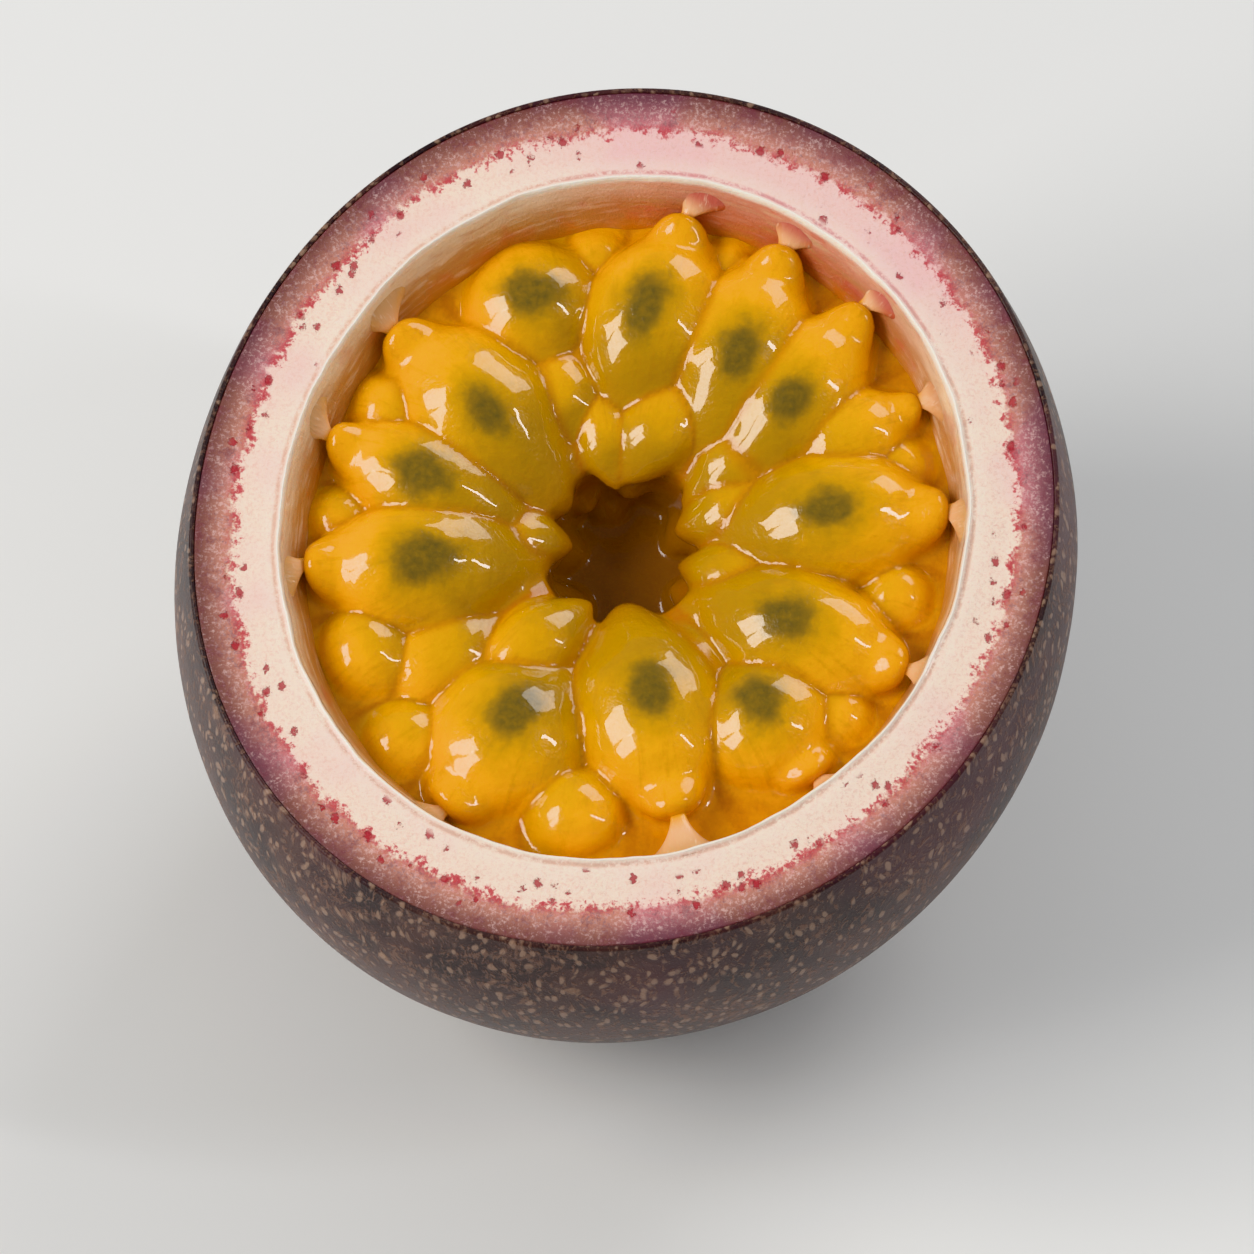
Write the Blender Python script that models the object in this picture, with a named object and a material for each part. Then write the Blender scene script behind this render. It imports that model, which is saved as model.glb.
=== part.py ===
# Half of a passion fruit, cut across, with its pulp in it. Metres, +Z up.
# The origin is the middle of the small flat spot that the half rests on. The cut face looks up and leans to -Y.

import math

import bmesh
import bpy
from mathutils import Matrix, Vector

NODE_NAME = "passion_fruit_half"

# The fruit's body, an ellipsoid in its own frame: centre at the origin, the cut face's normal along +Z.
EQUATOR_RADIUS = 0.0285
POLE_RADIUS = 0.0305
CUT_HEIGHT = 0.0095
LEAN = math.radians(17)

# How far the body is from round: an oval and three faint lobes round its axis, as shares of its radius.
OVAL_SHARE = 0.036
OVAL_TURN = math.radians(70)
LOBE_SHARE = 0.006
LOBE_TURN = 0.7

# The flat spot, pressed this deep into the round rind, and the stem scar beside it.
FLAT_DEPTH = 0.0005
SCAR_TURN = math.radians(8)
SCAR_RADIUS = 0.0019
SCAR_END_RADIUS = 0.0015
SCAR_LENGTH = 0.0032
SCAR_PROUD = 0.0008

# The rind at the cut, the hollow's wall below it, and the bed of juice that the sacs lie in.
RIND_THICKNESS = 0.0057
RIM_ROUNDING = 0.0003
WALL_LEAN = math.radians(22)
BED_DROP = 0.0046
PIT_MOUTH_RADIUS = 0.0052
PIT_FLOOR_RADIUS = 0.0042
PIT_DROP = 0.0125

# Juice sacs: a blunt outer end at the wall and a pointed end towards the middle, which dips a little.
SAC_TOP_GAP = 0.0009
SAC_HEIGHT_SHARE = 0.92
SAC_TIP_TAPER = 0.48
SAC_TIP_SHARPNESS = 1.5
SAC_TIP_DIP = math.radians(7)

# One row for each sac of the top layer: the bearing of its middle in degrees anticlockwise from +X and its
# distance from the axis in mm, how many degrees it is turned off the spoke, and then in mm its length, its
# width and how far it lies under the highest sacs.
TOP_SACS = (
    (85, 14.6, -10, 12.6, 7.8, 0.0),
    (62, 14.9, 9, 13.2, 7.0, 0.1),
    (45, 15.0, 12, 13.0, 6.2, 0.4),
    (28, 16.0, 3, 9.0, 5.4, 1.1),
    (7, 12.8, -3, 14.8, 7.6, 0.0),
    (331, 12.8, 9, 15.0, 7.4, 0.2),
    (309, 15.4, 0, 10.0, 8.8, 0.4),
    (281, 11.2, 5, 14.0, 8.4, 0.0),
    (263, 17.6, 70, 6.8, 5.2, 1.0),
    (243, 13.8, -8, 13.2, 8.8, 0.3),
    (206, 17.4, 20, 6.6, 6.0, 1.2),
    (192, 13.0, -4, 14.6, 7.4, 0.1),
    (164, 13.2, -8, 13.4, 6.4, 0.6),
    (140, 12.2, -4, 14.8, 8.2, 0.0),
    (113, 16.0, 60, 9.8, 7.6, 0.8),
)

# The layer under it shows in the gaps: evenly spaced sacs, in mm.
UNDER_COUNT = 9
UNDER_DISTANCE = 12.1
UNDER_LENGTH = 12.2
UNDER_WIDTH = 8.4
UNDER_DROP = 2.4

# Mesh fineness.
ROUND_STEPS = 60
OUTSIDE_STEPS = 15
SAC_AROUND = 12
SAC_ALONG = 8
MERGE_DISTANCE = 1e-6

SKIN_COLOUR = (0.075, 0.022, 0.025, 1)
SKIN_ROUGHNESS = 0.42


def clear_scene():
    for thing in list(bpy.data.objects):
        bpy.data.objects.remove(thing)


def body_to_world():
    """Leans the body, then puts the middle of its flat spot on the origin."""
    turn = Matrix.Rotation(LEAN, 4, "X")
    depth = math.hypot(POLE_RADIUS * math.cos(LEAN), EQUATOR_RADIUS * math.sin(LEAN))
    lowest = Vector(
        (0, -(EQUATOR_RADIUS**2) * math.sin(LEAN) / depth, -(POLE_RADIUS**2) * math.cos(LEAN) / depth)
    )
    lift = -(turn @ lowest) - Vector((0, 0, FLAT_DEPTH))
    return Matrix.Translation(lift) @ turn


def grown(point):
    """The same point on a body that grew a little oval and lobed, as real fruit does."""
    bearing = math.atan2(point.y, point.x)
    swell = 1 + OVAL_SHARE * math.cos(2 * (bearing - OVAL_TURN))
    swell += LOBE_SHARE * math.cos(3 * bearing + LOBE_TURN)
    return Vector((point.x * swell, point.y * swell, point.z))


def rind_profile():
    """Distance from the axis and height: from the lower pole up the outside, over the rim, down to the pit."""
    cut_angle = math.asin(CUT_HEIGHT / POLE_RADIUS)
    profile = []
    for step in range(OUTSIDE_STEPS + 1):
        angle = -math.pi / 2 + (cut_angle + math.pi / 2) * step / OUTSIDE_STEPS
        profile.append((EQUATOR_RADIUS * math.cos(angle), POLE_RADIUS * math.sin(angle)))
    cut_radius = profile[-1][0]
    profile[-1] = (cut_radius, CUT_HEIGHT - RIM_ROUNDING)
    profile.append((cut_radius - RIM_ROUNDING, CUT_HEIGHT))
    inner_radius = cut_radius - RIND_THICKNESS
    profile.append((inner_radius + RIM_ROUNDING, CUT_HEIGHT))
    profile.append((inner_radius, CUT_HEIGHT - RIM_ROUNDING))
    wall_foot = inner_radius - BED_DROP * math.tan(WALL_LEAN)
    profile.append((wall_foot, CUT_HEIGHT - BED_DROP))
    profile.append(((wall_foot + PIT_MOUTH_RADIUS) / 2, CUT_HEIGHT - BED_DROP))
    profile.append((PIT_MOUTH_RADIUS, CUT_HEIGHT - BED_DROP))
    profile.append((PIT_FLOOR_RADIUS, CUT_HEIGHT - PIT_DROP))
    profile.append((0, CUT_HEIGHT - PIT_DROP))
    return profile


def turned_mesh(profile):
    """The profile turned once round +Z, as one closed skin."""
    mesh = bmesh.new()
    points = [mesh.verts.new((radius, 0, height)) for radius, height in profile]
    edges = [mesh.edges.new(pair) for pair in zip(points, points[1:])]
    bmesh.ops.spin(
        mesh,
        geom=points + edges,
        axis=(0, 0, 1),
        cent=(0, 0, 0),
        angle=math.tau,
        steps=ROUND_STEPS,
        use_merge=True,
    )
    bmesh.ops.remove_doubles(mesh, verts=mesh.verts, dist=MERGE_DISTANCE)
    bmesh.ops.recalc_face_normals(mesh, faces=mesh.faces)
    return mesh


def press_flat_spot(mesh):
    """Cuts off what lies under the surface that the half rests on, and closes the cut with one flat face."""
    cut = bmesh.ops.bisect_plane(
        mesh,
        geom=mesh.verts[:] + mesh.edges[:] + mesh.faces[:],
        plane_co=(0, 0, 0),
        plane_no=(0, 0, -1),
        clear_outer=True,
    )
    edge_loop = [thing for thing in cut["geom_cut"] if isinstance(thing, bmesh.types.BMEdge)]
    bmesh.ops.contextual_create(mesh, geom=edge_loop)
    bmesh.ops.recalc_face_normals(mesh, faces=mesh.faces)


def sac_mesh(length, width, height):
    """A juice sac along X: blunt at -X, drawn to a point at +X."""
    mesh = bmesh.new()
    bmesh.ops.create_uvsphere(mesh, u_segments=SAC_AROUND, v_segments=SAC_ALONG, radius=1)
    for vert in mesh.verts:
        along = vert.co.z
        slim = 1 - SAC_TIP_TAPER * max(0, along) ** SAC_TIP_SHARPNESS
        vert.co = Vector((along * length / 2, vert.co.x * slim * width / 2, -vert.co.y * slim * height / 2))
    return mesh


def add_object(name, mesh, collection):
    data = bpy.data.meshes.new(name)
    mesh.to_mesh(data)
    mesh.free()
    made = bpy.data.objects.new(name, data)
    collection.objects.link(made)
    return made


def add_sac(name, row, collection):
    """One sac in its place in the body's frame, then leaned with the body."""
    bearing, distance, twist, length, width, drop = row
    height = width * SAC_HEIGHT_SHARE
    direction = math.radians(bearing)
    centre = Vector((distance * math.cos(direction), distance * math.sin(direction), -drop - height / 2)) / 1000
    centre.z += CUT_HEIGHT - SAC_TOP_GAP
    place = (
        Matrix.Translation(centre)
        @ Matrix.Rotation(direction + math.radians(twist) + math.pi, 4, "Z")
        @ Matrix.Rotation(SAC_TIP_DIP, 4, "Y")
    )
    mesh = sac_mesh(length / 1000, width / 1000, height / 1000)
    mesh.transform(place)
    for vert in mesh.verts:
        vert.co = grown(vert.co)
    mesh.transform(body_to_world())
    return add_object(name, mesh, collection)

def add_stem_scar(collection):
    """The short stub that the stem leaves near the lower pole."""
    mesh = bmesh.new()
    bmesh.ops.create_cone(
        mesh,
        cap_ends=True,
        segments=SAC_AROUND,
        radius1=SCAR_RADIUS,
        radius2=SCAR_END_RADIUS,
        depth=SCAR_LENGTH,
    )
    outward = Vector((0, math.sin(SCAR_TURN), -math.cos(SCAR_TURN)))
    turn = outward.to_track_quat("Z", "Y").to_matrix().to_4x4()
    place = Matrix.Translation(outward * (POLE_RADIUS + SCAR_PROUD - SCAR_LENGTH / 2)) @ turn
    mesh.transform(body_to_world() @ place)
    return add_object("stem_scar", mesh, collection)

def as_guide(thing):
    thing.hide_render = True
    thing.display_type = "WIRE"


def skin_material():
    material = bpy.data.materials.new("skin")
    material.use_nodes = True
    shader = material.node_tree.nodes["Principled BSDF"]
    shader.inputs["Base Color"].default_value = SKIN_COLOUR
    shader.inputs["Roughness"].default_value = SKIN_ROUGHNESS
    shader.inputs["Metallic"].default_value = 0
    return material


def add_half():
    mesh = turned_mesh(rind_profile())
    for vert in mesh.verts:
        vert.co = grown(vert.co)
    mesh.transform(body_to_world())
    press_flat_spot(mesh)
    half = add_object(NODE_NAME, mesh, bpy.context.scene.collection)
    half.data.materials.append(skin_material())
    return half


def add_joined_shapes():
    """The sacs and the stem scar, in a collection that one Boolean joins to the half."""
    joined = bpy.data.collections.new("joined_shapes")
    bpy.context.scene.collection.children.link(joined)
    for number, row in enumerate(TOP_SACS, 1):
        add_sac(f"top_sac_{number}", row, joined)
    for number in range(UNDER_COUNT):
        row = (360 * number / UNDER_COUNT, UNDER_DISTANCE, 0, UNDER_LENGTH, UNDER_WIDTH, UNDER_DROP)
        add_sac(f"under_sac_{number + 1}", row, joined)
    add_stem_scar(joined)
    for thing in joined.objects:
        as_guide(thing)
    return joined


def main():
    clear_scene()
    half = add_half()
    union = half.modifiers.new("join_sacs", "BOOLEAN")
    union.operation = "UNION"
    union.operand_type = "COLLECTION"
    union.collection = add_joined_shapes()
    half.data.shade_smooth()


main()
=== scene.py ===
import math
import random

import bmesh
import bpy
import numpy as np
from mathutils import Euler, Matrix, Vector, noise


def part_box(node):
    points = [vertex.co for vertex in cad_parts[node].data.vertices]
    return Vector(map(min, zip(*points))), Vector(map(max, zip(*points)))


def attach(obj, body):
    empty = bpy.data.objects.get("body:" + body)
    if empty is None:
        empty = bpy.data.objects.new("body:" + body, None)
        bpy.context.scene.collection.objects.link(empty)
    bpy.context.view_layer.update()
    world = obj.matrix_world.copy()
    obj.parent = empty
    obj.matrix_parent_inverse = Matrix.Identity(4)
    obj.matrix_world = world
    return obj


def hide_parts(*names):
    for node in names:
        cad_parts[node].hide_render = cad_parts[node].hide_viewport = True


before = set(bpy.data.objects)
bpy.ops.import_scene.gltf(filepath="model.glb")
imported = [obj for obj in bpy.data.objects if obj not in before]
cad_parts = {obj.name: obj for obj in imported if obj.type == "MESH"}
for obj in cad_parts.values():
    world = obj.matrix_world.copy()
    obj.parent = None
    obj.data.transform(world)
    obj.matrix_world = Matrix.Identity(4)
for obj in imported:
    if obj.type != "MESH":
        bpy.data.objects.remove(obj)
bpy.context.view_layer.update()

# Half of a passion fruit. Each piece is made in the fruit's own frame, with the fruit's axis along Z and the
# cut facing up, and is then leaned over and set down where the frame has the half. Metres, unless a note
# says mm.

halfNode = "passion_fruit_half"
body = "root"
mm = 0.001

fruit = {
    "equatorRadius": 28.5 * mm,
    "poleRadius": 30.5 * mm,
    "cutHeight": 9.5 * mm,
    "lean": math.radians(17),
    "oval": 0.036,
    "ovalTurn": math.radians(70),
    "lobes": 0.006,
    "lobeTurn": 0.7,
    "rindThickness": 5.7 * mm,
}


# Small helpers for node trees.

class Wire:
    # One socket of a tree, so that sums on sockets read as sums.
    def __init__(self, bench, socket):
        self.bench = bench
        self.socket = socket

    def maths(self, operation, *values):
        return self.bench.node("ShaderNodeMath", {"operation": operation}, dict(enumerate(values)))

    def __add__(self, other):
        return self.maths("ADD", self, other)

    def __sub__(self, other):
        return self.maths("SUBTRACT", self, other)

    def __rsub__(self, other):
        return self.maths("SUBTRACT", other, self)

    def __mul__(self, other):
        return self.maths("MULTIPLY", self, other)

    def __truediv__(self, other):
        return self.maths("DIVIDE", self, other)

    def __pow__(self, other):
        return self.maths("POWER", self, other)

    __radd__ = __add__

    def least(self, other):
        return self.maths("MINIMUM", self, other)

    def most(self, other):
        return self.maths("MAXIMUM", self, other)

    def rise(self, low, high):
        # 0 below low, 1 above high, and a soft step between them. It falls where low is the greater.
        inputs = {"Value": self, "From Min": low, "From Max": high}
        return self.bench.node("ShaderNodeMapRange", {"interpolation_type": "SMOOTHSTEP"}, inputs)

    def part(self, axis):
        return self.bench.node("ShaderNodeSeparateXYZ", {}, {0: self}, "XYZ".index(axis))


class Bench:
    # Adds nodes to one tree, and gives back a Wire for what comes out.
    def __init__(self, tree):
        self.tree = tree

    def node(self, kind, settings=None, inputs=None, output=0):
        made = self.tree.nodes.new(kind)
        for name, value in (settings or {}).items():
            setattr(made, name, value)
        for key, value in (inputs or {}).items():
            if isinstance(value, Wire):
                self.tree.links.new(value.socket, made.inputs[key])
            else:
                made.inputs[key].default_value = value
        return Wire(self, made.outputs[output])

    def vector(self, x, y, z):
        return self.node("ShaderNodeCombineXYZ", {}, {0: x, 1: y, 2: z})

    def vectorMaths(self, operation, *values):
        return self.node("ShaderNodeVectorMath", {"operation": operation}, dict(enumerate(values)))

    def mix(self, factor, low, high):
        return self.node("ShaderNodeMix", {"data_type": "RGBA"}, {0: factor, 6: low, 7: high}, 2)

    def cloud(self, place, size, detail=2.0, roughness=0.5):
        # Soft noise from 0 to 1 whose lumps are about this size, in mm.
        inputs = {"Vector": place, "Scale": 1 / size, "Detail": detail, "Roughness": roughness}
        return self.node("ShaderNodeTexNoise", {}, inputs)

    def cells(self, place, size, output, randomness=1.0):
        inputs = {"Vector": place, "Scale": 1 / size, "Randomness": randomness}
        return self.node("ShaderNodeTexVoronoi", {}, inputs, output)

    def bump(self, height, depth):
        # The depth, in mm, is what a height of 1 stands for.
        return self.node("ShaderNodeBump", {}, {"Height": height, "Distance": depth * mm, "Strength": 1.0})


def tint(red, green, blue):
    # A colour given as it looks on a screen, 0 to 255.
    def linear(value):
        share = value / 255
        return share / 12.92 if share <= 0.04045 else ((share + 0.055) / 1.055) ** 2.4
    return (linear(red), linear(green), linear(blue), 1.0)


def newFinish(name, constants):
    material = bpy.data.materials.new(name)
    material.use_nodes = True
    shader = material.node_tree.nodes["Principled BSDF"]
    for key, value in constants.items():
        shader.inputs[key].default_value = value
    return material, Bench(material.node_tree), shader


def feed(bench, shader, **sockets):
    names = {"colour": "Base Color", "roughness": "Roughness", "coat": "Coat Weight", "normal": "Normal"}
    for key, wire in sockets.items():
        bench.tree.links.new(wire.socket, shader.inputs[names[key]])


# The fruit's own frame, and the one that was loaded.

def leanMatrix():
    turn = Matrix.Rotation(fruit["lean"], 4, "X")
    equator, pole = fruit["equatorRadius"], fruit["poleRadius"]
    lean = fruit["lean"]
    reach = math.hypot(pole * math.cos(lean), equator * math.sin(lean))
    lowest = Vector((0, -(equator**2) * math.sin(lean) / reach, -(pole**2) * math.cos(lean) / reach))
    return Matrix.Translation(-(turn @ lowest)) @ turn


def moved(points, matrix):
    turn = np.array(matrix.to_3x3())
    return points @ turn.T + np.array(matrix.translation)


def grown(points):
    # The fruit is a little oval and lobed.
    bearing = np.arctan2(points[:, 1], points[:, 0])
    swell = 1 + fruit["oval"] * np.cos(2 * (bearing - fruit["ovalTurn"]))
    swell += fruit["lobes"] * np.cos(3 * bearing + fruit["lobeTurn"])
    out = points.copy()
    out[:, :2] *= swell[:, None]
    return out


def bodyRow(angle, inset=0.0):
    # Distance from the axis and height of a point on the fruit, or on a skin inside it.
    equator, pole = fruit["equatorRadius"], fruit["poleRadius"]
    normal = Vector((math.cos(angle) / equator, math.sin(angle) / pole)).normalized()
    return equator * math.cos(angle) - normal.x * inset, pole * math.sin(angle) - normal.y * inset


def heightAngle(height, inset=0.0):
    # The angle at which that skin reaches a height.
    angle = math.asin(height / fruit["poleRadius"])
    for _ in range(6):
        angle += (height - bodyRow(angle, inset)[1]) / (fruit["poleRadius"] * math.cos(angle))
    return angle


def frameFit():
    # Sets the fruit into the box that the frame gives for the half.
    low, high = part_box(halfNode)
    rowCount, stepCount = 90, 180
    angles = np.linspace(-math.pi / 2, heightAngle(fruit["cutHeight"]), rowCount)
    around = np.linspace(0, math.tau, stepCount, endpoint=False)
    rows = np.array([bodyRow(angle) for angle in angles])
    points = np.stack([
        np.outer(rows[:, 0], np.cos(around)).ravel(),
        np.outer(rows[:, 0], np.sin(around)).ravel(),
        np.repeat(rows[:, 1], len(around)),
    ], 1)
    points = moved(grown(points), leanMatrix())
    ownLow, ownHigh = points.min(0), points.max(0)
    # The flat spot is pressed in, so the height is matched from the top down.
    share = min((high[axis] - low[axis]) / (ownHigh[axis] - ownLow[axis]) for axis in (0, 1))
    shift = Vector((
        (low.x + high.x) / 2 - share * (ownLow[0] + ownHigh[0]) / 2,
        (low.y + high.y) / 2 - share * (ownLow[1] + ownHigh[1]) / 2,
        high.z - share * ownHigh[2],
    ))
    return Matrix.Translation(shift) @ Matrix.Scale(share, 4) @ leanMatrix(), low.z


toFrame, restHeight = frameFit()


def settled(points, depth=0.0):
    # From the fruit's frame to the loaded one, flat where the half rests.
    # A surface under the skin stays its own depth above that flat spot.
    out = moved(points, toFrame)
    out[:, 2] = np.maximum(out[:, 2], restHeight + depth)
    return out


def fruitPlace(bench):
    # Where a point lies in the fruit's frame, in mm, for patterns.
    back = toFrame.inverted()
    inputs = {
        "Vector": bench.node("ShaderNodeTexCoord", {}, {}, "Object"),
        "Location": back.translation,
        "Rotation": back.to_euler(),
        "Scale": back.to_scale(),
    }
    metres = bench.node("ShaderNodeMapping", {}, inputs)
    return bench.node("ShaderNodeVectorMath", {"operation": "SCALE"}, {0: metres, "Scale": 1 / mm})


def spokePlace(bench, place, along):
    # The same place drawn out along the spokes by this much.
    flat = bench.vectorMaths("MULTIPLY", place, (1, 1, 0))
    distance = bench.node("ShaderNodeVectorMath", {"operation": "LENGTH"}, {0: flat}, "Value")
    around = bench.node("ShaderNodeVectorMath", {"operation": "NORMALIZE"}, {0: flat})
    ring = bench.node("ShaderNodeVectorMath", {"operation": "SCALE"}, {0: around, "Scale": 24.0})
    return bench.vector(ring.part("X"), ring.part("Y"), (distance + place.part("Z")) / along)


# Small helpers for meshes.

def unevenness(points, size, seed):
    # Noise from -1 to 1 at each point.
    apart = Vector((seed * 7.3, seed * 3.1, seed * 5.7))
    return np.array([noise.noise(Vector(point) / size + apart) for point in points])


def turnedParts(rows, steps):
    # A profile that starts and ends on the axis, turned once round it. Also which row each point belongs to.
    radius = np.array([row[0] for row in rows[1:-1]])
    height = np.array([row[1] for row in rows[1:-1]])
    around = np.arange(steps) * math.tau / steps
    rings = np.stack([
        np.outer(radius, np.cos(around)).ravel(),
        np.outer(radius, np.sin(around)).ravel(),
        np.repeat(height, steps),
    ], 1)
    points = np.vstack([[0, 0, rows[0][1]], rings, [0, 0, rows[-1][1]]])
    rowOf = np.concatenate([[0], np.repeat(np.arange(1, len(rows) - 1), steps), [len(rows) - 1]])
    last = len(points) - 1
    faces = []
    for step in range(steps):
        after = (step + 1) % steps
        faces.append((0, 1 + after, 1 + step))
        for row in range(len(radius) - 1):
            near = 1 + row * steps
            far = near + steps
            faces.append((near + step, near + after, far + after, far + step))
        near = 1 + (len(radius) - 1) * steps
        faces.append((near + step, near + after, last))
    return points, faces, rowOf


def meshOf(name, points, faces):
    mesh = bpy.data.meshes.new(name)
    mesh.from_pydata([tuple(point) for point in points], [], faces)
    mesh.update()
    tidy = bmesh.new()
    tidy.from_mesh(mesh)
    bmesh.ops.recalc_face_normals(tidy, faces=tidy.faces)
    tidy.to_mesh(mesh)
    tidy.free()
    return mesh


def addPiece(name, mesh, material=None):
    piece = bpy.data.objects.new(name, mesh)
    bpy.context.scene.collection.objects.link(piece)
    if material:
        mesh.materials.clear()
        mesh.materials.append(material)
    mesh.shade_smooth()
    return piece


def pointsOf(mesh):
    flat = np.empty(len(mesh.vertices) * 3)
    mesh.vertices.foreach_get("co", flat)
    return flat.reshape(-1, 3)


def setPoints(mesh, points):
    mesh.vertices.foreach_set("co", np.ascontiguousarray(points, dtype=float).ravel())
    mesh.update()


def normalsOf(mesh):
    flat = np.empty(len(mesh.vertices) * 3)
    mesh.vertices.foreach_get("normal", flat)
    return flat.reshape(-1, 3)


def keepValues(mesh, name, values):
    layer = mesh.attributes.new(name, "FLOAT", "POINT")
    layer.data.foreach_set("value", np.ascontiguousarray(values, dtype=np.float32))


def readValues(bench, name):
    return bench.node("ShaderNodeAttribute", {"attribute_name": name}, {}, "Fac")


def plainMesh(thing, name):
    # What the object's modifiers give, as a mesh of its own. The object goes.
    graph = bpy.context.evaluated_depsgraph_get()
    mesh = bpy.data.meshes.new_from_object(thing.evaluated_get(graph))
    mesh.name = name
    bpy.data.objects.remove(thing)
    return mesh


def smoothStep(values, low, high):
    share = np.clip((values - low) / (high - low), 0, 1)
    return share * share * (3 - 2 * share)


def claim(piece):
    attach(piece, body)
    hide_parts(halfNode)


# The skin: a thin dark shell that ends in the outer edge of the cut.

skin = {
    "thickness": 0.38 * mm,
    "edgeRounding": 0.22 * mm,
    "edgeRows": 4,
    "steps": 320,
    "rows": 120,
    "insideRows": 16,
    "dentSize": 9.0 * mm,
    "dentDepth": 0.16 * mm,
    "pebbleSize": 1.7 * mm,
    "pebbleDepth": 0.022 * mm,
    "levelBand": 3 * mm,
}


def skinRows():
    # Rows from the lower pole up the outside, over the rounded edge and down the inside.
    cut, rounding, thickness = fruit["cutHeight"], skin["edgeRounding"], skin["thickness"]
    sweep = heightAngle(cut - rounding) + math.pi / 2
    rows = [bodyRow(-math.pi / 2 + sweep * step / skin["rows"]) for step in range(skin["rows"] + 1)]
    rows[0] = (0, rows[0][1])
    edge = rows[-1][0]
    for step in range(1, skin["edgeRows"] + 1):
        angle = math.pi / 2 * step / skin["edgeRows"]
        radius = edge - rounding + rounding * math.cos(angle)
        rows.append((radius, cut - rounding + rounding * math.sin(angle)))
    inner = edge - thickness
    rows.append((inner + 0.05 * mm, cut - 0.02 * mm))
    bottom = heightAngle(cut - 0.3 * mm, thickness)
    for step in range(skin["insideRows"] + 1):
        angle = bottom - (bottom + math.pi / 2) * step / skin["insideRows"]
        rows.append(bodyRow(angle, thickness))
    rows[-1] = (0, rows[-1][1])
    return rows


def skinFinish():
    constants = {"Coat Roughness": 0.3, "Coat Weight": 0.14, "Specular IOR Level": 0.5, "Sheen Weight": 0.12,
                 "Sheen Roughness": 0.4, "Sheen Tint": tint(214, 200, 196)}
    finish, bench, shader = newFinish("rindSkin", constants)
    place = fruitPlace(bench)
    wander = bench.node("ShaderNodeTexNoise", {}, {"Vector": place, "Scale": 0.35, "Detail": 1.0}, 1)
    bent = bench.vectorMaths("MULTIPLY_ADD", wander, (1.6, 1.6, 1.6), place)
    long = bench.vectorMaths("MULTIPLY", bent, (1, 1, 0.42))
    mottle = bench.cloud(place, 6.0, 3.0, 0.6)
    blush = bench.cloud(place, 15.0, 2.0)
    patch = bench.cloud(place, 3.2, 2.0, 0.6)
    weave = bench.cloud(long, 0.36, 3.0, 0.65)
    grain = bench.cloud(long, 0.17, 3.0, 0.7)
    colour = bench.mix(mottle.rise(0.36, 0.66), tint(38, 22, 25), tint(72, 45, 41))
    colour = bench.mix(blush.rise(0.5, 0.72) * 0.6, colour, tint(84, 40, 50))
    colour = bench.mix((grain + (patch - 0.5) * 0.3).rise(0.5, 0.68) * 0.45, colour, tint(112, 80, 70))
    # fine pale corky specks, drawn out from stem to blossom end, thicker in some places
    specks = (weave + (patch - 0.5) * 0.26).rise(0.51, 0.64)
    dotShape = bench.cells(long, 0.62, "Distance")
    dotPick = bench.node("ShaderNodeSeparateColor", {}, {0: bench.cells(long, 0.62, "Color")})
    dots = (dotShape + (weave - 0.5) * 0.5).rise(0.42, 0.2) * (dotPick + patch * 0.9).rise(0.62, 0.95)
    colour = bench.mix(specks * 0.55, colour, tint(140, 106, 88))
    colour = bench.mix(dots * 0.55, colour, tint(178, 144, 120))
    # a few larger spots
    spotShape = bench.cells(place, 2.6, "Distance")
    spotPick = bench.node("ShaderNodeSeparateColor", {}, {0: bench.cells(place, 2.6, "Color")}, 1)
    spots = (spotShape + (weave - 0.5) * 0.4).rise(0.24, 0.12) * spotPick.rise(0.72, 0.86)
    colour = bench.mix(spots * 0.5, colour, tint(166, 128, 100))
    height = specks * 0.6 + dots * 0.5 + spots * 0.4 + grain * 0.6 + patch * 0.5
    roughness = 0.4 + grain * 0.14 + specks * 0.1
    feed(bench, shader, colour=colour, roughness=roughness, normal=bench.bump(height, 0.075))
    return finish


def makeSkin():
    points, faces, rowOf = turnedParts(skinRows(), skin["steps"])
    outward = points / np.linalg.norm(points, axis=1)[:, None]
    # The relief fades out at the cut, so that the edge stays level.
    fade = smoothStep(fruit["cutHeight"] - points[:, 2], 0.0, skin["levelBand"])
    fade *= rowOf <= skin["rows"]
    relief = -skin["dentDepth"] * (0.5 + 0.5 * unevenness(points, skin["dentSize"], 1))
    relief -= skin["pebbleDepth"] * (0.5 + 0.5 * unevenness(points, skin["pebbleSize"], 2))
    points = grown(points + outward * (relief * fade)[:, None])
    inside = rowOf > skin["rows"] + skin["edgeRows"]
    mesh = meshOf("skin", settled(points, skin["thickness"] * inside), faces)
    claim(addPiece("skin", mesh, skinFinish()))
    print("skin made")


# The rind's flesh: the ring that the cut shows, and the wall of the hollow.

pith = {
    "inset": skin["thickness"] * 0.6,
    "cutSink": 0.03 * mm,
    "steps": 400,
    "outsideRows": 14,
    "faceRows": 30,
    "lipRadius": 0.22 * mm,
    "lipRise": 0.11 * mm,
    "lipRows": 6,
    "wallRows": 22,
    "wallDepth": 7.0 * mm,
    "wallLean": math.radians(20),
    "wallLeanMore": math.radians(7),
    "wallLeanTurn": math.radians(125),
    "hollowRows": 8,
    "hollowDepth": 15.4 * mm,
    "redSide": math.radians(68),
}


def redSideReach(bench, place):
    # How far a point lies towards the redder side of the fruit, in mm.
    toRedSide = (math.cos(pith["redSide"]), math.sin(pith["redSide"]), 0)
    return bench.node("ShaderNodeVectorMath", {"operation": "DOT_PRODUCT"}, {0: place, 1: toRedSide}, "Value")


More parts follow.
